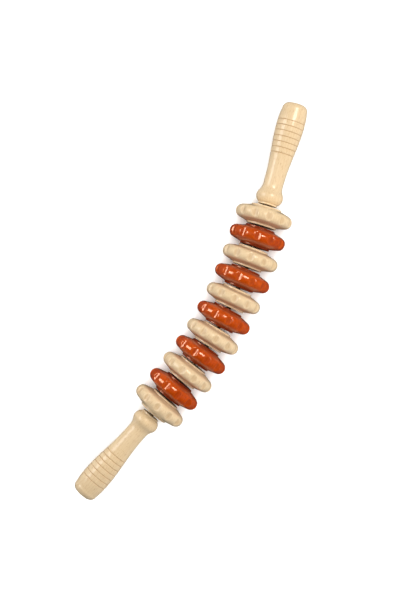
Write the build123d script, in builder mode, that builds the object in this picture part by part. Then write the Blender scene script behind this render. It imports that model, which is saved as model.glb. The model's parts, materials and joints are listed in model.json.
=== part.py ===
from build123d import *
import os
from math import acos, atan2, cos, degrees, hypot, pi, radians, sin, tan

# Flexible roller massager: eleven notched wooden wheels that spin on one steel
# rope, between two turned wooden handles.
#
# Frame: the massager lies on its wheels on z = 0 and the rope bends in a level
# plane. +X runs from the left handle's end to the right one's, +Z is up, and the
# origin is the middle of the footprint. Millimetres.

# Wheels
wheel_count = 11
wheel_radius = 29.0
rim_round = 6.5  # the rim is a round of this radius, seen in the wheel's section
hub_radius = 15.3
hub_half = 10.0  # from the wheel's middle to the face of its hub
hub_bevel = 0.4
foot_half = 8.45  # where the flank starts, beside the hub
foot_groove = 0.6  # the small vee turned at the hub's foot
bore_radius = 3.1
notch_count = 12
notch_radius = 5.5
notch_depth = 1.7

# Rope
rope_radius = 2.5
hinge_relief = 0.35  # each straight length stops this far short of a hinge
wheel_pitch = 21.9  # from wheel to wheel along the rope
left_gap = 2.8  # from an end wheel's hub to the handle's lip
right_gap = 2.0

# Handles: radii, and places measured from the lip
lip_radius = 9.7
lip_length = 1.5
bead_radius = 13.65
bead_place = 8.5
bead_round = 8.0  # the bead's section
bead_slope = 34.0  # degrees, where the bead runs into the waist
waist_radius = 10.05
waist_place = 27.0
grip_radius = 14.05
grip_place = 83.5
tail_radius = 12.9  # just before the end is rounded over
tail_place = 98.5
tail_bulge = 1.9
end_radius = 7.0  # the flat at the very end
handle_length = 105.5
ring_count = 7
ring_first = 53.0
ring_pitch = 5.6
ring_half = 0.7
ring_depth = 0.6

# Rope's ends: a steel sleeve is crimped on each one and pressed into its handle
sleeve_radius = 4.0
sleeve_start = 6.0
sleeve_length = 24.0
socket_depth = 34.0
socket_fit = 0.02

# Shape at rest: how far the rope turns in each gap, from left to right, in
# degrees, and the angle at which each free wheel came to rest.
gap_turns = [0, 1, 2, 2.5, 4, 3.5, 3, 2.5, 2.5, 2, 1.5, 0.5]
wheel_turns = [-2.5, 12.5, 17, 15.5, 7.5, 10.5, 1, -9.5, -1.5, -2.5, 9]

# From each wheel's middle to the hinges on its left and on its right.
left_halves = [hub_half + left_gap / 2] + [wheel_pitch / 2] * (wheel_count - 1)
right_halves = [wheel_pitch / 2] * (wheel_count - 1) + [hub_half + right_gap / 2]


def ahead(point, heading, distance):
    """The point that lies a distance further on along a level heading."""
    return point + Vector(distance, 0, 0).rotate(Axis.Z, heading)


def walk_rope(start, heading):
    """Follow the rope from the left handle's end to the right one's.

    Returns the wheels' middles with their headings, the right handle's heading
    and the last point.
    """
    stops = []
    point = ahead(start, heading, handle_length + left_gap / 2)
    for turn, left_half, right_half in zip(gap_turns, left_halves, right_halves):
        heading += turn
        middle = ahead(point, heading, left_half)
        stops.append((middle, heading))
        point = ahead(middle, heading, right_half)
    heading += gap_turns[-1]
    return stops, heading, ahead(point, heading, right_gap / 2 + handle_length)


def settle_rope():
    """Turn and shift the walk so that its ends lie on X and its box is centred."""
    _, _, far_end = walk_rope(Vector(0, 0, 0), 0)
    left_heading = -degrees(atan2(far_end.Y, far_end.X))
    reach = far_end.length
    stops, _, _ = walk_rope(Vector(-reach / 2, 0, 0), left_heading)
    lean = radians(-left_heading)
    tail = handle_length - tail_place
    sides = [tail_radius * cos(lean) - tail * sin(lean)]
    for middle, heading in stops:
        rim = (wheel_radius - rim_round) * cos(radians(heading)) + rim_round
        sides += [middle.Y - rim, middle.Y + rim]
    start = Vector(-reach / 2, -(min(sides) + max(sides)) / 2, wheel_radius)
    return start, left_heading, *walk_rope(start, left_heading)


rope_start, left_heading, wheel_stops, right_heading, rope_end = settle_rope()


def lathe_plane(middle, heading):
    """Local X along the turning axis, local Y level: turned outlines go here."""
    return Plane(middle, x_dir=ahead(Vector(), heading, 1), z_dir=(0, 0, 1))


def face_plane(middle, heading):
    """Square to the rope: local X points up, local Z along the rope."""
    return Plane(middle, x_dir=(0, 0, 1), z_dir=ahead(Vector(), heading, 1))


def rim_touch():
    """Where the straight flank meets the rim's round, tangent to it."""
    rim_center = wheel_radius - rim_round
    foot_drop = rim_center - hub_radius - foot_groove
    lean = acos(rim_round / hypot(foot_half, foot_drop)) - atan2(foot_drop, foot_half)
    return rim_round * cos(lean), rim_center + rim_round * sin(lean)


def notched_wheel(middle, heading, turn):
    """A turned wheel with a raised hub on each side and scoops round its rim."""
    lathe = lathe_plane(middle, heading)
    touch_x, touch_r = rim_touch()
    foot_r = hub_radius + foot_groove
    with BuildPart() as wheel:
        with BuildSketch(lathe):
            with BuildLine():
                right = [
                    (0, bore_radius),
                    (hub_half, bore_radius),
                    (hub_half, hub_radius - hub_bevel),
                    (hub_half - hub_bevel, hub_radius),
                    (foot_half - foot_groove, hub_radius),
                    (foot_half, foot_r),
                    (touch_x, touch_r),
                ]
                left = [(-x, r) for x, r in right]
                Polyline(*right)
                ThreePointArc((touch_x, touch_r), (0, wheel_radius), (-touch_x, touch_r))
                Polyline(*reversed(left))
            make_face()
        revolve(axis=Axis(middle, lathe.x_dir))
        with BuildSketch(face_plane(middle, heading)):
            with PolarLocations(wheel_radius - notch_depth + notch_radius, notch_count, turn):
                Circle(notch_radius)
        extrude(amount=hub_half, both=True, mode=Mode.SUBTRACT)
    return wheel.part


def round_bar(middle, heading, start, end, radius, hole=0.0):
    """A straight bar or tube along the rope, between two distances from a point."""
    with BuildPart() as bar:
        with BuildSketch(face_plane(ahead(middle, heading, start), heading)):
            Circle(radius)
            if hole > 0:
                Circle(hole, mode=Mode.SUBTRACT)
        extrude(amount=end - start)
    return bar.part


def grip_outline(place):
    """The handle's radius from its waist to the fattest part of its grip."""
    share = (place - waist_place) / (grip_place - waist_place)
    return waist_radius + (grip_radius - waist_radius) * (1 - cos(pi * share)) / 2


def turned_handle(lip, heading):
    """A handle that runs from its lip along a heading, with cut rings and a socket."""
    lathe = lathe_plane(lip, heading)
    bead_middle = bead_radius - bead_round
    bead_foot = bead_middle + (bead_round**2 - (bead_place - lip_length) ** 2) ** 0.5
    bead_end = (
        bead_place + bead_round * sin(radians(bead_slope)),
        bead_middle + bead_round * cos(radians(bead_slope)),
    )
    grip_steps = 6
    grip_step = (grip_place - waist_place) / grip_steps
    grip_places = [waist_place + step * grip_step for step in range(grip_steps + 1)]
    with BuildPart() as handle:
        with BuildSketch(lathe):
            with BuildLine():
                Polyline((0, 0), (0, lip_radius), (lip_length, lip_radius), (lip_length, bead_foot))
                ThreePointArc((lip_length, bead_foot), (bead_place, bead_radius), bead_end)
                Spline(
                    bead_end,
                    (waist_place, waist_radius),
                    tangents=[(1, -tan(radians(bead_slope))), (1, 0)],
                )
                Spline(
                    *[(place, grip_outline(place)) for place in grip_places],
                    tangents=[(1, 0), (1, 0)],
                )
                TangentArc((grip_place, grip_radius), (tail_place, tail_radius), tangent=(1, 0))
                SagittaArc(
                    (tail_place, tail_radius), (handle_length, end_radius), tail_bulge
                )
                Polyline((handle_length, end_radius), (handle_length, 0), (0, 0))
            make_face()
        revolve(axis=Axis(lip, lathe.x_dir))
        with BuildSketch(lathe):
            for ring in range(ring_count):
                place = ring_first + ring * ring_pitch
                surface = grip_outline(place)
                with BuildLine():
                    Polyline(
                        (place - 2 * ring_half, surface + ring_depth),
                        (place + 2 * ring_half, surface + ring_depth),
                        (place, surface - ring_depth),
                        close=True,
                    )
                make_face()
        revolve(axis=Axis(lip, lathe.x_dir), mode=Mode.SUBTRACT)
        with BuildSketch(face_plane(lip, heading)):
            Circle(sleeve_radius + socket_fit)
        extrude(amount=socket_depth, mode=Mode.SUBTRACT)
    return handle.part


def write(piece, name):
    """Label a piece and write it as its own file."""
    piece.label = name
    export_step(piece, f"parts/{name}.step")


os.makedirs("parts", exist_ok=True)

for index, (middle, heading) in enumerate(wheel_stops):
    number = f"{index + 1:02d}"
    write(notched_wheel(middle, heading, wheel_turns[index]), f"wheel_{number}")
    rope_from = hinge_relief - left_halves[index]
    rope_to = right_halves[index] - hinge_relief
    write(round_bar(middle, heading, rope_from, rope_to, rope_radius), f"rope_{number}")

for side, end, heading, gap in [
    ("left", rope_start, left_heading + 180, left_gap),
    ("right", rope_end, right_heading, right_gap),
]:
    lip = ahead(end, heading, -handle_length)
    sleeve_end = sleeve_start + sleeve_length
    write(turned_handle(lip, heading), f"{side}_handle")
    write(
        round_bar(lip, heading, sleeve_start, sleeve_end, sleeve_radius, rope_radius + socket_fit),
        f"{side}_sleeve",
    )
    write(
        round_bar(lip, heading, hinge_relief - gap / 2, sleeve_end, rope_radius),
        f"{side}_rope_end",
    )
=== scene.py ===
# %% [markdown]
# # A flexible wooden roller massager
#
# The real thing is a steel wire rope with eleven notched wooden wheels strung on it, and a turned
# wooden handle on each end. The wheels alternate between clear-lacquered pale wood and a glossy
# red-brown stain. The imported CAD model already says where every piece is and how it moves, so this
# lesson gives each piece its finished shape and its finish, exactly where the CAD piece lies.

# %% Load the frame
import json
import math
import random

import bpy
from mathutils import Matrix, Vector

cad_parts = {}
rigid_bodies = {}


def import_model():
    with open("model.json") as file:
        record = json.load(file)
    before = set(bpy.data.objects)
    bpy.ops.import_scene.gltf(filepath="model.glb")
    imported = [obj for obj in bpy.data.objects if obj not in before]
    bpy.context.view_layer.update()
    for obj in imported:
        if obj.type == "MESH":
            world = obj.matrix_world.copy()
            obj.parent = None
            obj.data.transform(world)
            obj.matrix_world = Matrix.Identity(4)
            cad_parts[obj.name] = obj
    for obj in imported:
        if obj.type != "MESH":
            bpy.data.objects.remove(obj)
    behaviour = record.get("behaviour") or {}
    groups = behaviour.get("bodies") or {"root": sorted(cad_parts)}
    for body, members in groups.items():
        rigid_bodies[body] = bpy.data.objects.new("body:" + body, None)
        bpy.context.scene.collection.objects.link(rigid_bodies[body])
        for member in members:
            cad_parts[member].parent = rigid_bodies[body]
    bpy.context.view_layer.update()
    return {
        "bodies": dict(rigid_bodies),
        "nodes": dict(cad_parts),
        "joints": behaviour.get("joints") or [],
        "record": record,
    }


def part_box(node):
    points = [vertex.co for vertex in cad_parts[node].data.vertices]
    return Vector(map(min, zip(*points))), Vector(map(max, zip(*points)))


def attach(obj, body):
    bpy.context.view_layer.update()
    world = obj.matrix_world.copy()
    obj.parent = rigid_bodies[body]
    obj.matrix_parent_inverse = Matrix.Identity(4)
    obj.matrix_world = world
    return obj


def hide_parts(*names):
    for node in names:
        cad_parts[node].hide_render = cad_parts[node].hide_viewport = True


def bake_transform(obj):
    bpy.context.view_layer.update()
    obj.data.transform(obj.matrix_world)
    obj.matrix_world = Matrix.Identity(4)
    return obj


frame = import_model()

scene = bpy.context.scene
joints = {joint["name"]: joint for joint in frame["joints"]}
MM = 0.001

# %% [markdown]
# ## Where the wheels and hinges are
#
# A wheel spins about the rope, so its joint holds both its middle and its axis. The rope bends at
# a hinge in the middle of each gap. Reading those from the record keeps this file free of
# coordinates: if the CAD model changes, every piece here follows.

# %% Read the seats
wheel_names = sorted(name for name in frame["bodies"] if name.startswith("wheel_"))
hinges = [Vector(joints[name]["pos_m"]) for name in sorted(joints) if name.startswith("bend_")]
spins = [joints[name] for name in sorted(joints) if name.startswith("spin_")]
links = ["left_grip"] + [spin["parent"] for spin in spins] + ["right_grip"]


def seat(origin, axis):
    """The matrix that puts local X on an axis, local Z up, and local zero on a point."""
    along = Vector(axis).normalized()
    up = Vector((0, 0, 1))
    side = up.cross(along)
    return Matrix.Translation(origin) @ Matrix((along, side, up)).transposed().to_4x4()


mounts = {mount["name"]: mount for mount in frame["record"]["mounts"]}
wheel_seats = [seat(spin["pos_m"], spin["axis"]) for spin in spins]
middles = [Vector(spin["pos_m"]) for spin in spins]
print(len(wheel_names), "wheels,", len(hinges), "hinges")

# %% [markdown]
# ## Camera
#
# A long lens looks straight down, as over a copy stand, so the wheels are seen on their rims and
# nothing leans. The camera is rolled until the roller stands on its left handle and leans to the
# right. Its height follows from how much of the floor it takes in.

# %% Camera over the roller
axle_height = middles[0].z
view_height = 0.603
view_roll = math.radians(-61.15)
view_aim = Vector((4.5 * MM, 18.6 * MM, axle_height))
lens = 75.0
sensor = 36.0
camera_data = bpy.data.cameras.new("camera")
camera_data.lens = lens
camera_data.sensor_width = sensor
camera = bpy.data.objects.new("camera", camera_data)
scene.collection.objects.link(camera)
camera.location = view_aim + Vector((0, 0, view_height * lens / sensor))
camera.rotation_euler = (0, 0, view_roll)
bpy.context.scene.camera = camera
print("camera height", round(camera.location.z, 3), "m")

# %% [markdown]
# ## Node maths as Python
#
# Every finish below is a small sum over the surface. Wiring Math nodes by hand hides the sum, so
# one class wraps a socket and lets ordinary arithmetic add the nodes. Anything else comes from
# `node`, which takes the node's type, its settings and the values or links of its sockets.

# %% Wires and nets
class Wire:
    """An output socket on which arithmetic adds Math nodes."""

    def __init__(self, net, socket):
        self.net = net
        self.socket = socket

    def __add__(self, other):
        return self.net.math("ADD", self, other)

    def __sub__(self, other):
        return self.net.math("SUBTRACT", self, other)

    def __rsub__(self, other):
        return self.net.math("SUBTRACT", other, self)

    def __mul__(self, other):
        return self.net.math("MULTIPLY", self, other)

    def __truediv__(self, other):
        return self.net.math("DIVIDE", self, other)

    def __rtruediv__(self, other):
        return self.net.math("DIVIDE", other, self)

    def __pow__(self, other):
        return self.net.math("POWER", self, other)

    __radd__ = __add__
    __rmul__ = __mul__


class Net:
    """A node tree in the making."""

    def __init__(self, tree):
        self.tree = tree

    def node(self, kind, settings=None, sockets=None, output=0):
        """Add a node and return one of its outputs as a wire."""
        made = self.tree.nodes.new(kind)
        for name, value in (settings or {}).items():
            setattr(made, name, value)
        for name, value in (sockets or {}).items():
            self.feed(made.inputs[name], value)
        return Wire(self, made.outputs[output])

    def feed(self, socket, value):
        """Link a wire to a socket, or set the socket's own value."""
        if isinstance(value, Wire):
            self.tree.links.new(value.socket, socket)
        else:
            socket.default_value = value

    def math(self, operation, *values):
        """A Math node on wires and numbers."""
        return self.node("ShaderNodeMath", {"operation": operation}, dict(enumerate(values)))

    def vector(self, operation, *values):
        """A Vector Math node on wires and vectors."""
        return self.node("ShaderNodeVectorMath", {"operation": operation}, dict(enumerate(values)))

    def part(self, vector, letter):
        """One coordinate of a vector."""
        output = "XYZ".index(letter)
        return self.node("ShaderNodeSeparateXYZ", sockets={"Vector": vector}, output=output)

    def join(self, x, y, z):
        """A vector from three coordinates."""
        return self.node("ShaderNodeCombineXYZ", sockets={"X": x, "Y": y, "Z": z})


print("net ready")

# %% [markdown]
# ## The studio
#
# A glossy piece shows its surroundings as much as its own colour, so the room is lit like a
# product studio. The world is nearly black to everything but the camera, which sees a pale
# backdrop, so no pale sky washes out the deep red stain.

# %% A dim room with a pale backdrop
ceiling_glow = 0.002
wall_glow = 0.018
scene.view_settings.view_transform = "Standard"
world = bpy.data.worlds.new("studio")
world.use_nodes = True
sky = Net(world.node_tree)
height = sky.math("MAXIMUM", sky.part(sky.node("ShaderNodeTexCoord"), "Z"), 0.0)
glow = ceiling_glow + (wall_glow - ceiling_glow) * (1 - height) ** 3
seen = sky.node("ShaderNodeLightPath", output="Is Camera Ray")
background = world.node_tree.nodes["Background"]
background.inputs["Color"].default_value = (1, 1, 1, 1)
sky.feed(background.inputs["Strength"], glow + (1 - glow) * seen)
scene.world = world
print("world:", world.name)

# %% [markdown]
# ## Soft boxes
#
# The big box on the left draws the long soft highlight down the handles, and a smaller one beside
# the camera leaves a short gleam near their ends. A fill on the right and a ceiling box only soften
# the shadows, so they don't show in reflections. Two warm cards hang just in front of the first
# two boxes. They light nothing, but they show in the lacquer, as upright strokes and short dashes
# on the scoops. They hang a little nearer than their boxes, because two lights in one place
# flicker.

# %% Boxes and cards
image_right = camera.matrix_basis.to_3x3() @ Vector((1, 0, 0))
image_up = camera.matrix_basis.to_3x3() @ Vector((0, 1, 0))
from_left = (-0.75, 0.40, 0.53)
beside_camera = (0.38, 0.40, 0.83)
from_right = (0.85, -0.25, 0.45)
overhead = (0, 0, 1)
card_colour = (1.0, 0.62, 0.36)
bulb_colour = (1.0, 0.92, 0.82)


def soft_box(name, side, distance, size, power):
    """A square light that looks at the roller from a side: right, up and above in the view."""
    right, up, above = side
    direction = (image_right * right + image_up * up + Vector((0, 0, above))).normalized()
    data = bpy.data.lights.new(name, "AREA")
    data.size = size
    data.energy = power
    light = bpy.data.objects.new(name, data)
    light.location = view_aim + direction * distance
    light.rotation_euler = direction.to_track_quat("Z", "Y").to_euler()
    scene.collection.objects.link(light)
    return light


side_box = soft_box("side_box", from_left, distance=1.1, size=0.60, power=5.0)
side_card = soft_box("side_card", from_left, distance=1.0, size=0.56, power=15.0)
top_card = soft_box("top_card", beside_camera, distance=1.0, size=0.42, power=7.5)
top_box = soft_box("top_box", beside_camera, distance=1.1, size=0.40, power=5.8)
fill_box = soft_box("fill_box", from_right, distance=1.1, size=0.8, power=5.2)
ceiling_box = soft_box("ceiling_box", overhead, distance=1.5, size=1.2, power=10.2)
top_box.data.color = bulb_colour
for card in (side_card, top_card):
    card.visible_diffuse = False
    card.data.color = card_colour
for box in (fill_box, ceiling_box):
    box.visible_glossy = False

# %% [markdown]
# ## Floor
#
# The roller lies on a plain white floor. A floor bright enough to look white would also shine up
# into the gaps, so it has a wash of its own: a wide sun that lights the floor alone, while the
# boxes light everything but the floor. Light linking does both, through two small collections.

# %% White floor and its wash
floor_half = 30.0
wash_power = 5.6
wash_spread = math.radians(40)
floor_mesh = bpy.data.meshes.new("floor")
floor_corners = [(-floor_half, -floor_half), (floor_half, -floor_half),
                 (floor_half, floor_half), (-floor_half, floor_half)]
floor_mesh.from_pydata([(x, y, 0) for x, y in floor_corners], [], [(0, 1, 2, 3)])
floor = bpy.data.objects.new("floor", floor_mesh)
scene.collection.objects.link(floor)
floor.visible_glossy = False

wash_data = bpy.data.lights.new("floor_wash", "SUN")
wash_data.energy = wash_power
wash_data.angle = wash_spread
floor_wash = bpy.data.objects.new("floor_wash", wash_data)
scene.collection.objects.link(floor_wash)
only_floor = bpy.data.collections.new("only_floor")
only_floor.objects.link(floor)
floor_wash.light_linking.receiver_collection = only_floor
all_but_floor = bpy.data.collections.new("all_but_floor")
all_but_floor.objects.link(floor)
all_but_floor.collection_objects[0].light_linking.link_state = "EXCLUDE"
for box in (side_box, top_box, fill_box, ceiling_box):
    box.light_linking.receiver_collection = all_but_floor
print("floor:", 2 * floor_half, "m wide")

# %% [markdown]
# ## The wood's figure
#
# Every piece is turned from its own blank, so no two may show the same grain. Each piece's mesh
# carries `timber`: where each point lies in the tree, with X along the grain and the pith on the
# X axis. Growth rings are then plain distance from that axis, and a cut through the blank shows
# long streaks along a handle and arcs on a wheel's face, as real wood does. An image could not do
# that without seams. `wear_and_shade` is above 0 on edges that hands polish. Below 0 it is painted
# shade in grooves, recesses and stained hubs, and in a handle's grip rings it is burnt brown and
# painted shade.

# %% Figure shared by both wood finishes
ring_width = 2.4 * MM
ring_drift = 1.6 * MM
ring_rise = 3
ring_fall = 6
ring_blend = 0.2
drift_grain = (9, 60, 60)
cloud_grain = (25, 70, 70)
fibre_grain = (35, 900, 900)
fleck_grain = (260, 1900, 1900)
fleck_start, fleck_full = 0.64, 0.76


class Figure:
    """The wires every wood finish reads: rings, fibres, flecks, edges, and hollows of burns and
    painted shade.
    """

    def __init__(self, net):
        place = net.node("ShaderNodeAttribute", {"attribute_name": "timber"}, output=1)
        wear_and_shade = net.node("ShaderNodeAttribute", {"attribute_name": "wear_and_shade"}, output=2)

        def noise(grain, detail):
            stretched = net.vector("MULTIPLY", place, grain)
            sockets = {"Vector": stretched, "Scale": 1.0, "Detail": detail}
            return net.node("ShaderNodeTexNoise", sockets=sockets)

        across = net.join(0.0, net.part(place, "Y"), net.part(place, "Z"))
        radius = net.vector("LENGTH", across)
        radius.socket = radius.socket.node.outputs["Value"]
        turns = (radius + noise(drift_grain, 2.0) * ring_drift) / ring_width
        cycle = net.math("FRACT", turns)
        self.rings = net.math("SMOOTH_MIN", cycle**ring_rise, (1 - cycle) * ring_fall, ring_blend)
        self.cloud = noise(cloud_grain, 2.0)
        self.fibres = noise(fibre_grain, 3.0)
        self.flecks = net.node(
            "ShaderNodeMapRange",
            sockets={
                "Value": noise(fleck_grain, 0.0), "From Min": fleck_start, "From Max": fleck_full,
            },
        )
        self.edges = net.math("MAXIMUM", wear_and_shade, 0.0)
        # hollows: burnt brown in grip rings, and painted shade in grooves, recesses and stained hubs
        self.burns_and_shade = net.math("MAXIMUM", wear_and_shade * -1.0, 0.0)


def blend_colours(net, factor, first, second):
    """Mix two colours, each a wire or an (r, g, b) triple, on the Mix node's colour sockets."""
    first, second = (
        value if isinstance(value, Wire) else (*value, 1.0) for value in (first, second)
    )
    sockets = {"Factor": factor, 6: first, 7: second}
    return net.node("ShaderNodeMix", {"data_type": "RGBA"}, sockets, output=2)


def new_finish(name):
    """A material with an empty net and its Principled shader."""
    material = bpy.data.materials.new(name)
    material.use_nodes = True
    shader = material.node_tree.nodes["Principled BSDF"]
    return material, Net(material.node_tree), shader


print("figure ready")

# %% [markdown]
# ## A finish for wood
#
# Both finishes are laid in the same order, as a finisher would: the timber's own two tones, then
# its rings, fibres and flecks, then a darkening of hollows, which is painted shade apart from the
# burnt grip rings, then what is rubbed off edges. Each layer is a part of the figure, how strongly
# it shows, and a colour. Over them lies lacquer, which is the shader's coat. It is thin in hollows,
# and the bump under it is slight, because it fills the pores.

# %% One function for both woods
bump_height = 0.4 * MM


def wood_finish(name, tones, layers, roughness, relief, lacquer, fixed):
    """A lacquered wood: its colours in layers, then roughness, relief, lacquer and fixed values."""
    material, net, shader = new_finish(name)
    figure = Figure(net)
    colour = blend_colours(net, figure.cloud, *tones)
    for part, strength, tint in layers:
        colour = blend_colours(net, getattr(figure, part) * strength, colour, tint)
    net.feed(shader.inputs["Base Color"], colour)
    rough, fibre_rough, edge_shine = roughness
    rough = rough + figure.fibres * fibre_rough - figure.edges * edge_shine
    net.feed(shader.inputs["Roughness"], rough)
    thickness, thin_hollows = lacquer
    net.feed(shader.inputs["Coat Weight"], thickness - figure.burns_and_shade * thin_hollows)
    fibres, rings, flecks, strength = relief
    surface = figure.fibres * fibres + figure.rings * rings - figure.flecks * flecks
    sockets = {"Height": surface, "Strength": strength, "Distance": bump_height}
    net.feed(shader.inputs["Normal"], net.node("ShaderNodeBump", sockets=sockets))
    for socket, value in fixed.items():
        shader.inputs[socket].default_value = value
    print("made", material.name)
    return material


# %% [markdown]
# ## Natural wood
#
# Pale, close-grained wood under a satin clear lacquer. The rings are faint, so most of the look is
# warm cream that drifts a little, with short darker flecks. The lathe's grip rings are burnt in
# with a wire, and the hollows show them as toasted brown, which also paints the shade in their
# grooves. The same brown darkens the wheels' grooves and recesses and the foot of a handle's bead
# as painted shade.

# %% Natural wood finish
natural_wood = wood_finish(
    "natural_wood",
    tones=((0.80, 0.62, 0.375), (0.86, 0.695, 0.47)),
    layers=[
        ("rings", 0.35, (0.66, 0.42, 0.21)),
        ("fibres", 0.42, (0.66, 0.45, 0.23)),
        ("flecks", 0.45, (0.50, 0.29, 0.12)),
        # burnt grip rings, and painted shade in grooves and recesses
        ("burns_and_shade", 0.55, (0.36, 0.17, 0.06)),
        ("edges", 0.20, (0.93, 0.77, 0.55)),
    ],
    roughness=(0.42, 0.12, 0.06),
    relief=(0.6, 0.3, 0.5, 0.06),
    lacquer=(0.9, 0.6),
    fixed={"Specular IOR Level": 0.2, "Coat Roughness": 0.16, "Coat IOR": 1.5},
)

# %% [markdown]
# ## Stained wood
#
# The other wheels are dipped in a red-brown stain and then in gloss lacquer. Stain soaks deepest
# into the soft early wood, and it is thin where an edge was rubbed, so the rings turn round: late
# wood stays brighter and edges glow orange. Hollows and the hubs go nearly black-brown, which is
# painted shade.

# %% Stained wood finish
stained_wood = wood_finish(
    "stained_wood",
    tones=((0.40, 0.028, 0.001), (0.74, 0.118, 0.003)),
    layers=[
        ("rings", 0.45, (0.72, 0.125, 0.004)),
        ("fibres", 0.50, (0.24, 0.017, 0.001)),
        ("flecks", 0.45, (0.13, 0.010, 0.002)),
        # painted shade: stained hubs, grooves and scoops go nearly black-brown
        ("burns_and_shade", 0.80, (0.08, 0.008, 0.002)),
        ("edges", 0.18, (0.80, 0.19, 0.015)),
    ],
    roughness=(0.34, 0.10, 0.0),
    relief=(0.5, 0.3, 0.3, 0.05),
    lacquer=(1.0, 0.8),
    fixed={"Specular IOR Level": 0.12, "Coat Roughness": 0.04, "Coat IOR": 1.45},
)

# %% [markdown]
# ## Metals and the floor
#
# The rope is drawn wire that has gone brown where grease and dust lie between the strands. The
# crimped sleeves are soft, dull aluminium. Both read object coordinates, since their pieces are too
# small to show a seam. The floor is plain matt white, so that nothing on it draws the eye.

# %% Metal finishes and the white floor
metal_patchiness = 0.25


def metal_finish(name, bright, dull, roughness, grain):
    material, net, shader = new_finish(name)
    place = net.node("ShaderNodeTexCoord", output=3)
    spots = net.node("ShaderNodeTexNoise", sockets={"Vector": place, "Scale": grain, "Detail": 4.0})
    net.feed(shader.inputs["Base Color"], blend_colours(net, spots, bright, dull))
    net.feed(shader.inputs["Roughness"], roughness + spots * metal_patchiness)
    shader.inputs["Metallic"].default_value = 1.0
    return material


rope_steel = metal_finish("rope_steel", (0.46, 0.37, 0.29), (0.15, 0.11, 0.08), 0.22, 900.0)
sleeve_metal = metal_finish("sleeve_metal", (0.80, 0.80, 0.81), (0.58, 0.58, 0.59), 0.28, 500.0)


def floor_finish():
    material, _, shader = new_finish("white_floor")
    shader.inputs["Base Color"].default_value = (0.90, 0.90, 0.90, 1)
    shader.inputs["Roughness"].default_value = 0.9
    shader.inputs["Specular IOR Level"].default_value = 0.0
    return material


floor.data.materials.append(floor_finish())
print("finishes:", [material.name for material in bpy.data.materials])

# %% [markdown]
# ## A lathe in geometry nodes
#
# Wheels and handles are all turned, so one tree can make them. An outline goes in as a chain of
# points, X along the axis and Y the radius. A grid has one row for each point and one column for
# each step around; every grid point looks up its row's outline point and swings it round the
# axis. A modelled Screw modifier could turn the outline too, but the grid knows each point's
# angle, and that is what lets the next rule cut the scoops.
#
# A scoop is cut by a round cutter that runs parallel to the axis. Seen along the axis, the
# cutter's edge lies at a known radius for each angle, so the rim is the smaller of two radii.
# A smooth minimum rounds the edge that is left, as sanding does, and how much it rounds tells
# where the edge is, which goes into `wear_and_shade`; a scoop's floor is darkened a little in
# `wear_and_shade` too, which is painted shade. Fields are worked out where they are used, so
# `wear_and_shade` and `timber` are stored while the points still stand on the grid, and the points
# move last.

# %% Geometry tree helpers
def new_tree(name, inputs):
    """An empty geometry tree with named inputs, each a socket type and a start value."""
    tree = bpy.data.node_groups.new(name, "GeometryNodeTree")
    tree.interface.new_socket("Geometry", in_out="INPUT", socket_type="NodeSocketGeometry")
    for label, (kind, value) in inputs.items():
        socket = tree.interface.new_socket(label, in_out="INPUT", socket_type="NodeSocket" + kind)
        if value is not None:
            socket.default_value = value
    tree.interface.new_socket("Geometry", in_out="OUTPUT", socket_type="NodeSocketGeometry")
    net = Net(tree)
    entry = tree.nodes.new("NodeGroupInput")
    given = {socket.name: Wire(net, socket) for socket in entry.outputs if socket.name}
    return tree, net, given


def end_tree(net, geometry, material):
    """Realize instances, set the material and close the tree."""
    real = net.node("GeometryNodeRealizeInstances", sockets={"Geometry": geometry})
    painted = net.node("GeometryNodeSetMaterial", sockets={"Geometry": real, "Material": material})
    out = net.tree.nodes.new("NodeGroupOutput")
    net.feed(out.inputs["Geometry"], painted)


def store(net, geometry, name, kind, value):
    """Keep a value on every point of the mesh."""
    return net.node(
        "GeometryNodeStoreNamedAttribute",
        {"data_type": kind, "domain": "POINT"},
        {"Geometry": geometry, "Name": name, "Value": value},
    )


def run_tree(tree, mesh, values, name):
    """Put a tree on a mesh, set its inputs, and return the result as a plain mesh."""
    source = bpy.data.objects.new(name + "_source", mesh)
    scene.collection.objects.link(source)
    modifier = source.modifiers.new("tree", "NODES")
    modifier.node_group = tree
    for item in tree.interface.items_tree:
        if item.in_out == "INPUT" and item.name in values:
            modifier[item.identifier] = values[item.name]
    bpy.context.view_layer.update()
    graph = bpy.context.evaluated_depsgraph_get()
    result = bpy.data.meshes.new_from_object(source.evaluated_get(graph))
    result.name = name
    source.modifiers.remove(modifier)
    bpy.data.objects.remove(source)
    return result


print("tree helpers ready")

# %% The lathe tree
edge_wear = 6
weld_distance = 1e-6


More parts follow.
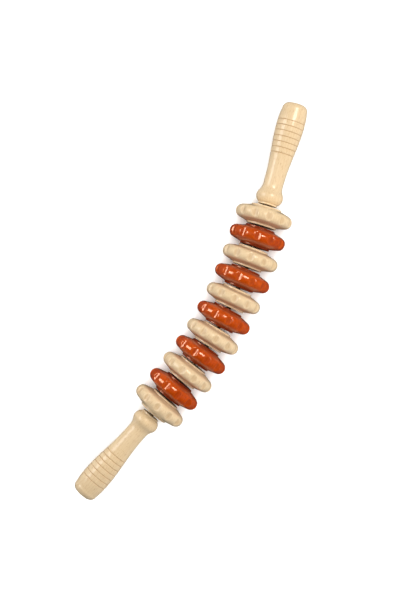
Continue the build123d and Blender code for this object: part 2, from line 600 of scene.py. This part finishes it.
def lathe_tree(scooped):
    """Turn an outline about X, and cut scoops round its rim where asked."""
    inputs = {
        "Around": ("Int", 96),
        "Blank": ("Vector", None),
        "Finish": ("Material", None),
    }
    if scooped:
        inputs |= {
            "Rim Radius": ("Float", 0.03),
            "Scoops": ("Float", 12.0),
            "Cutter Radius": ("Float", 0.005),
            "Scoop Depth": ("Float", 0.002),
            "Painted Scoop Shade": ("Float", 0.3),
            "Edge Softness": ("Float", 0.001),
            "Turn": ("Float", 0.0),
        }
    tree, net, given = new_tree("turned and scooped" if scooped else "turned", inputs)
    outline = given["Geometry"]
    rows = net.node(
        "GeometryNodeAttributeDomainSize", {"component": "MESH"}, {"Geometry": outline}
    )
    grid = net.node(
        "GeometryNodeMeshGrid",
        sockets={
            "Size X": 1.0, "Size Y": 1.0, "Vertices X": given["Around"] + 1, "Vertices Y": rows,
        },
    )
    place = net.node("GeometryNodeInputPosition")
    row = net.math("ROUND", (net.part(place, "Y") + 0.5) * (rows - 1))
    angle = (net.part(place, "X") + 0.5) * math.tau

    def look_up(kind, value):
        return net.node(
            "GeometryNodeSampleIndex",
            {"data_type": kind, "domain": "POINT"},
            {"Geometry": outline, "Value": value, "Index": row},
        )

    spot = look_up("FLOAT_VECTOR", net.node("GeometryNodeInputPosition"))
    outline_wear_and_shade = net.node(
        "GeometryNodeInputNamedAttribute", {"data_type": "FLOAT"}, {"Name": "wear_and_shade"}
    )
    wear_and_shade = look_up("FLOAT", outline_wear_and_shade)
    along = net.part(spot, "X")
    radius = net.part(spot, "Y")
    if scooped:
        pitch = math.tau / given["Scoops"]
        swing = net.math("FLOORED_MODULO", angle - given["Turn"] + pitch / 2, pitch) - pitch / 2
        reach = given["Rim Radius"] - given["Scoop Depth"] + given["Cutter Radius"]
        across = reach * net.math("SINE", swing)
        inside = net.math("MAXIMUM", given["Cutter Radius"] ** 2 - across**2, 0.0)
        cut = reach * net.math("COSINE", swing) - net.math("SQRT", inside)
        sharp = net.math("MINIMUM", radius, cut)
        soft = net.math("SMOOTH_MIN", radius, cut, given["Edge Softness"])
        wear_and_shade = wear_and_shade + (sharp - soft) / given["Edge Softness"] * edge_wear
        # painted shade: the scoop's floor is darkened
        wear_and_shade = wear_and_shade - (radius - soft) / given["Scoop Depth"] * given["Painted Scoop Shade"]
        radius = soft
    turned = net.join(along, radius * net.math("SINE", angle), radius * net.math("COSINE", angle))
    with_wear_and_shade = store(net, grid, "wear_and_shade", "FLOAT", wear_and_shade)
    figured = store(net, with_wear_and_shade, "timber", "FLOAT_VECTOR", net.vector("ADD", turned, given["Blank"]))
    shaped = net.node("GeometryNodeSetPosition", sockets={"Geometry": figured, "Position": turned})
    joined = net.node(
        "GeometryNodeMergeByDistance", sockets={"Geometry": shaped, "Distance": weld_distance}
    )
    smooth = net.node("GeometryNodeSetShadeSmooth", sockets={"Geometry": joined})
    end_tree(net, smooth, given["Finish"])
    return tree


turned_tree = lathe_tree(scooped=False)
scooped_tree = lathe_tree(scooped=True)
print("trees:", [tree.name for tree in (turned_tree, scooped_tree)])

# %% [markdown]
# ## Outlines
#
# A turner works to an outline: a few corners, each eased by a small round where the tool or the
# sandpaper left one. `ease` does just that. It swaps each corner for an arc of the asked radius
# and adds points on the long straights, so that the grain and the shading have something to hold.
# Each corner also carries a wear value: above 0 where hands rub it, and below 0 down in a groove
# or recess, where it is painted shade, or in a grip ring burnt brown and painted shade.

# %% Easing the corners
arc_steps = 5
longest_run = 1.2 * MM
most_of_a_side = 0.45


def ease(corners):
    """Outline points (x, radius, wear) from corners (x, radius, round, wear); wear below 0 is mostly
    painted shade.
    """
    points = []
    last = len(corners) - 1
    for index, (x, r, rounding, wear_and_shade) in enumerate(corners):
        spot = Vector((x, r))
        if rounding == 0 or index in (0, last):
            points.append((spot, wear_and_shade))
            continue
        back = Vector(corners[index - 1][:2]) - spot
        forth = Vector(corners[index + 1][:2]) - spot
        half = back.angle(forth) / 2
        side = min(back.length, forth.length)
        run = min(rounding / math.tan(half), most_of_a_side * side)
        start = spot + back.normalized() * run
        stop = spot + forth.normalized() * run
        for step in range(arc_steps + 1):
            t = step / arc_steps
            bent = start * (1 - t) ** 2 + spot * 2 * t * (1 - t) + stop * t**2
            points.append((bent, wear_and_shade))
    spread = [points[0]]
    for (here, wear_and_shade), (there, next_wear_and_shade) in zip(points, points[1:]):
        parts = max(1, math.ceil((there - here).length / longest_run))
        for part in range(1, parts + 1):
            share = part / parts
            level = wear_and_shade + (next_wear_and_shade - wear_and_shade) * share if wear_and_shade < 0 and next_wear_and_shade < 0 else 0.0
            level = next_wear_and_shade if part == parts else level
            spread.append((here.lerp(there, share), level))
    return [(spot.x, spot.y, wear_and_shade) for spot, wear_and_shade in spread]


def outline_mesh(points, name):
    """A chain of points that the lathe tree can turn."""
    mesh = bpy.data.meshes.new(name)
    edges = [(index, index + 1) for index in range(len(points) - 1)]
    mesh.from_pydata([(x, r, 0) for x, r, _ in points], edges, [])
    wear_and_shade = mesh.attributes.new("wear_and_shade", "FLOAT", "POINT")
    wear_and_shade.data.foreach_set("value", [level for _, _, level in points])
    return mesh


nearest_pith, furthest_pith = 35, 95


def blank(seed):
    """Where a piece was cut from its tree: along the grain, and out from the pith."""
    dice = random.Random(seed)
    angle = dice.uniform(0, math.tau)
    out = dice.uniform(nearest_pith, furthest_pith) * MM
    return (dice.uniform(-1, 1), out * math.cos(angle), out * math.sin(angle))


print("easing ready")

# %% [markdown]
# ## Wheels
#
# A wheel is a disc with a round rim, a straight flank on each side and a raised hub whose foot
# has a fine turned groove. The rim is as wide as the tallest CAD wheel, and the other sizes are
# set here in millimetres. Low on the flank, in the foot groove and round the bore the wear is below
# 0, which is painted shade. A stained hub is darkened the same way, as painted shade, and a
# natural hub's edge is rubbed pale.

# %% Wheel outline
rim_radius = max(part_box(name)[1].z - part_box(name)[0].z for name in wheel_names) / 2
rim_round = 6.5 * MM
hub_radius = 15.3 * MM
hub_half = 10.0 * MM
foot_half = 8.45 * MM
foot_groove = 0.6 * MM
bore_radius = 3.1 * MM
rim_steps = 46
flank_share = 0.6


def wheel_outline(hub_wear_and_shade):
    """Half a wheel's section from the bore out to the rim, and its mirror image."""
    rim_center = rim_radius - rim_round
    foot_radius = hub_radius + foot_groove
    drop = rim_center - foot_radius
    touch = math.acos(rim_round / math.hypot(foot_half, drop)) - math.atan2(drop, foot_half)
    sweep = math.pi - 2 * touch
    # below 0 the wear is painted shade: bore, hub face, foot groove and low flank
    corners = [
        (0, bore_radius, 0, -1.0),
        (hub_half, bore_radius, 0.5 * MM, -0.6),
        (hub_half, hub_radius, 0.55 * MM, hub_wear_and_shade),
        (foot_half - foot_groove, hub_radius, 0.1 * MM, -1.0),
        (foot_half, foot_radius, 0.3 * MM, -0.5),
    ]
    rim_start = Vector((rim_round * math.cos(touch), rim_center + rim_round * math.sin(touch)))
    fade = Vector((foot_half, foot_radius)).lerp(rim_start, flank_share)
    corners.append((fade.x, fade.y, 0, -0.05))
    rim = []
    for step in range(rim_steps + 1):
        angle = touch + sweep * step / rim_steps
        rim.append((rim_round * math.cos(angle), rim_center + rim_round * math.sin(angle), 0, 0.0))
    mirrored = [(-x, r, rounding, wear_and_shade) for x, r, rounding, wear_and_shade in reversed(corners)]
    return ease(corners + rim + mirrored)


# a natural hub's edge is rubbed pale; a stained hub is darkened as painted shade
pale_points = wheel_outline(hub_wear_and_shade=0.45)
stained_points = wheel_outline(hub_wear_and_shade=-0.8)
print("wheel outline:", len(pale_points), "points, rim radius", round(rim_radius / MM, 2), "mm")

# %% [markdown]
# The wheels spin freely, so each came to rest at its own angle, in degrees here. The CAD wheels
# are turned by the same angles. Every second wheel is stained, and those are put in a collection
# of their own, which is all that the two warm cards light.

# %% Turn the wheels
wheel_turns = [-2.5, 12.5, 17, 15.5, 7.5, 10.5, 1, -9.5, -1.5, -2.5, 9]
columns_around = 288
first_wheel_seed = 100
cutter_radius = 4.7 * MM
scoop_depth = 1.8 * MM
scoop_edge = 0.6 * MM


def finished(mesh, place, name, body, nodes):
    """Put a turned mesh in its place, and let it stand for its CAD nodes on its body."""
    mesh.transform(place)
    piece = bpy.data.objects.new(name, mesh)
    scene.collection.objects.link(piece)
    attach(piece, body)
    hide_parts(*nodes)
    return piece


glossy_wheels = bpy.data.collections.new("glossy_wheels")
for card in (side_card, top_card):
    card.light_linking.receiver_collection = glossy_wheels
for index, (name, place) in enumerate(zip(wheel_names, wheel_seats)):
    stained = index % 2 == 1
    values = {
        "Around": columns_around,
        "Blank": blank(first_wheel_seed + index),
        "Finish": stained_wood if stained else natural_wood,
        "Rim Radius": rim_radius,
        "Cutter Radius": cutter_radius,
        "Scoop Depth": scoop_depth,
        # painted shade on the scoops' floors
        "Painted Scoop Shade": 0.25 if stained else 0.5,
        "Edge Softness": scoop_edge,
        "Turn": -math.radians(wheel_turns[index]),
    }
    points = stained_points if stained else pale_points
    turned = run_tree(scooped_tree, outline_mesh(points, name), values, name)
    wheel = finished(turned, place, name + "_turned", name, [name])
    if stained:
        glossy_wheels.objects.link(wheel)
print("wheels:", len(wheel_names), "of", len(wheel.data.polygons), "faces each")

# %% [markdown]
# ## Handles
#
# From the wheels outwards a handle has a lip, a round bead, a slim waist and a swelling grip with
# seven burnt rings, and it ends nearly flat. The bead and the tail are arcs, and the grip swells
# from the waist by half a cosine wave, which starts and ends level as a turner's sweep does.

# %% Handle outline
lip_radius = 9.7 * MM
lip_length = 1.5 * MM
bead_radius = 13.65 * MM
bead_place = 8.5 * MM
bead_round = 8.0 * MM
bead_slope = math.radians(34)
waist_radius = 10.05 * MM
waist_place = 27.0 * MM
grip_radius = 14.05 * MM
grip_place = 83.5 * MM
tail_radius = 12.9 * MM
tail_place = 98.5 * MM
tail_bulge = 1.9 * MM
end_radius = 7.0 * MM
handle_length = 105.5 * MM
socket_radius = 4.02 * MM
socket_depth = 34.0 * MM
ring_places = [(53.0 + 5.6 * ring) * MM for ring in range(7)]
ring_half = 0.55 * MM
ring_depth = 0.6 * MM
ring_margin = 0.2 * MM
bead_steps = 20
tail_steps = 12
end_steps = 14
sweep_step = 0.8 * MM


def sweep_radius(place):
    """The handle's radius between the end of its bead and the start of its tail."""
    bead_end = bead_place + bead_round * math.sin(bead_slope)
    if place < waist_place:
        bead_end_radius = bead_radius - bead_round * (1 - math.cos(bead_slope))
        run = waist_place - bead_end
        t = (place - bead_end) / run
        fall = -math.tan(bead_slope) * run
        level = 2 * t**3 - 3 * t**2 + 1
        slope = t**3 - 2 * t**2 + t
        return bead_end_radius * level + fall * slope + waist_radius * (1 - level)
    share = (place - waist_place) / (grip_place - waist_place)
    return waist_radius + (grip_radius - waist_radius) * (1 - math.cos(math.pi * share)) / 2


def arc_points(start, bulge, stop, steps):
    """Points of the arc from start to stop that bulges outwards by a given height."""
    start, stop = Vector(start), Vector(stop)
    chord = stop - start
    radius = chord.length / 2
    outward = Vector((-chord.y, chord.x)).normalized()
    bend = bulge / 2 + radius**2 / (2 * bulge)
    center = (start + stop) / 2 + outward * (bulge - bend)
    first = math.atan2(start.y - center.y, start.x - center.x)
    last = math.atan2(stop.y - center.y, stop.x - center.x)
    angles = [first + (last - first) * step / steps for step in range(steps + 1)]
    return [(center.x + bend * math.cos(a), center.y + bend * math.sin(a)) for a in angles]


def handle_outline():
    """A handle's section from its end back to the lip and down the socket, so it faces outwards."""
    bead_center = bead_radius - bead_round
    bead_foot = bead_center + math.sqrt(bead_round**2 - (bead_place - lip_length) ** 2)
    # below 0 the wear is painted shade, in the socket's mouth and at the bead's foot
    head = [
        (socket_depth, 0, 0, 0.0),
        (socket_depth, socket_radius, 0, 0.0),
        (0, socket_radius, 0.4 * MM, -0.4),
        (0, lip_radius, 0.4 * MM, 0.8),
        (lip_length, lip_radius, 0.15 * MM, 0.0),
        (lip_length, bead_foot, 0, -1.0),
    ]
    bead_start = math.asin((lip_length - bead_place) / bead_round)
    for step in range(1, bead_steps + 1):
        angle = bead_start + (bead_slope - bead_start) * step / bead_steps
        spot = bead_place + bead_round * math.sin(angle)
        head.append((spot, bead_center + bead_round * math.cos(angle), 0, 0.0))
    sweep = []
    place = head[-1][0] + sweep_step
    while place < grip_place:
        if min(abs(place - ring) for ring in ring_places) > ring_half + ring_margin:
            sweep.append((place, sweep_radius(place), 0, 0.0))
        place += sweep_step
    for ring in ring_places:
        surface = sweep_radius(ring)
        # a ring's groove is burnt brown and also painted shade
        sweep += [
            (ring - ring_half, surface, 0.25 * MM, 0.1),
            (ring, surface - ring_depth, 0.12 * MM, -1.0),
            (ring + ring_half, surface, 0.25 * MM, 0.1),
        ]
    tail = []
    tail_start = ring_places[-1] + 2 * ring_half
    tail_drop = (grip_radius - tail_radius) / (tail_place - grip_place) ** 2
    for step in range(tail_steps):
        spot = tail_start + (tail_place - tail_start) * step / tail_steps
        tail.append((spot, grip_radius - tail_drop * (spot - grip_place) ** 2, 0, 0.0))
    bend = arc_points((tail_place, tail_radius), tail_bulge, (handle_length, end_radius), end_steps)
    tail += [(x, r, 0, 0.25) for x, r in bend]
    tail.append((handle_length, 0, 0, 0.0))
    return ease(head + sorted(sweep) + tail)[::-1]


handle_points = handle_outline()
print("handle outline:", len(handle_points), "points")

# %% Turn the handles
handle_columns = 160
for side, seed in (("left", 11), ("right", 12)):
    end = mounts[side + "_end"]
    outward = Vector(end["axis"])
    lip = Vector(end["pos_m"]) - outward * handle_length
    values = {"Around": handle_columns, "Blank": blank(seed), "Finish": natural_wood}
    turned = run_tree(turned_tree, outline_mesh(handle_points, side), values, side)
    handle = finished(
        turned, seat(lip, outward), side + "_handle_turned", side + "_grip",
        [side + "_handle"],
    )
print("handles:", len(handle.data.polygons), "faces each")

# %% [markdown]
# ## The wire rope
#
# The rope is one straight strand with six more laid round it in a long helix. It shows only in
# the gaps between the hubs, where it is a dark twisted line. One piece runs from the middle of
# one wheel to the middle of the next, because only two bodies may share a bending piece. Its
# path is a curve through the hinge, a circle is swept along six turned copies of it, and each
# piece starts its twist where the last one stopped.

# %% The strand tree
def strand_tree():
    """Six strands laid round a seventh, along a curve from start through a hinge to stop."""
    tree, net, given = new_tree(
        "laid strands",
        {
            "Start": ("Vector", None),
            "Hinge": ("Vector", None),
            "Stop": ("Vector", None),
            "Strands": ("Int", 6),
            "Rope Radius": ("Float", 0.0025),
            "Lay": ("Float", 0.03),
            "Laid Before": ("Float", 0.0),
            "Finish": ("Material", None),
        },
    )
    path = net.node(
        "GeometryNodeCurveQuadraticBezier",
        sockets={
            "Resolution": 30,
            "Start": given["Start"],
            "Middle": given["Hinge"],
            "End": given["Stop"],
        },
    )
    strand_radius = given["Rope Radius"] / 3
    copies = net.node(
        "GeometryNodeDuplicateElements",
        {"domain": "SPLINE"},
        {"Geometry": path, "Amount": given["Strands"]},
    )
    turn = Wire(net, copies.socket.node.outputs["Duplicate Index"]) / given["Strands"]
    run = net.node("GeometryNodeSplineParameter", output=1)
    angle = (turn + (run + given["Laid Before"]) / given["Lay"]) * math.tau
    tangent = net.node("GeometryNodeInputTangent")
    up = net.join(0.0, 0.0, 1.0)
    level = net.vector("CROSS_PRODUCT", up, tangent)
    outward = net.vector(
        "ADD",
        net.vector("MULTIPLY", level, net.join(*[net.math("COSINE", angle)] * 3)),
        net.vector("MULTIPLY", up, net.join(*[net.math("SINE", angle)] * 3)),
    )
    offset = net.vector("MULTIPLY", outward, net.join(*[strand_radius * 2] * 3))
    laid = net.node("GeometryNodeSetPosition", sockets={"Geometry": copies, "Offset": offset})
    both = net.node("GeometryNodeJoinGeometry", sockets={"Geometry": laid})
    net.feed(both.socket.node.inputs["Geometry"], path)
    ring = net.node(
        "GeometryNodeCurvePrimitiveCircle", sockets={"Resolution": 12, "Radius": strand_radius}
    )
    tubes = net.node(
        "GeometryNodeCurveToMesh", sockets={"Curve": both, "Profile Curve": ring, "Fill Caps": True}
    )
    smooth = net.node("GeometryNodeSetShadeSmooth", sockets={"Geometry": tubes})
    end_tree(net, smooth, given["Finish"])
    return tree


laid_strands = strand_tree()
print("tree:", laid_strands.name)

# %% Lay the rope
rope_radius = 2.5 * MM
lay_length = 26.0 * MM
anchor_depth = 30.0 * MM
bend_half = 4.0 * MM
anchors = []
for side in ("left", "right"):
    end = mounts[side + "_end"]
    anchors.append(Vector(end["pos_m"]) - Vector(end["axis"]) * (handle_length - anchor_depth))
stops = [anchors[0]] + middles + [anchors[1]]
rope_nodes = [["left_rope_end", "rope_01"]]
rope_nodes += [[f"rope_{number:02d}"] for number in range(2, len(spins) + 1)] + [["right_rope_end"]]

laid_before = 0.0
for index, hinge in enumerate(hinges):
    start, stop = stops[index], stops[index + 1]
    values = {
        "Start": start,
        "Hinge": hinge,
        "Stop": stop,
        "Rope Radius": rope_radius,
        "Lay": lay_length,
        "Laid Before": laid_before,
        "Finish": rope_steel,
    }
    name = f"rope_span_{index + 1:02d}"
    mesh = run_tree(laid_strands, bpy.data.meshes.new(name + "_seed"), values, name)
    span = bpy.data.objects.new(name, mesh)
    scene.collection.objects.link(span)
    along = (stop - start).normalized() * bend_half
    hinge - along
    hinge + along
    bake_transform(span)
    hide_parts(*rope_nodes[index])
    laid_before += (hinge - start).length + (stop - hinge).length
print("rope:", round(laid_before / MM), "mm in", len(hinges), "spans")

# %% [markdown]
# ## The crimped sleeves
#
# A sleeve is crimped on each end of the rope, deep in its handle's socket. The CAD tube has the
# right shape already, so it stays and only gets its metal.

# %% Give the sleeves their metal
for side in ("left", "right"):
    sleeve = frame["nodes"][side + "_sleeve"]
    sleeve.data.materials.clear()
    sleeve.data.materials.append(sleeve_metal)
print("sleeves done")
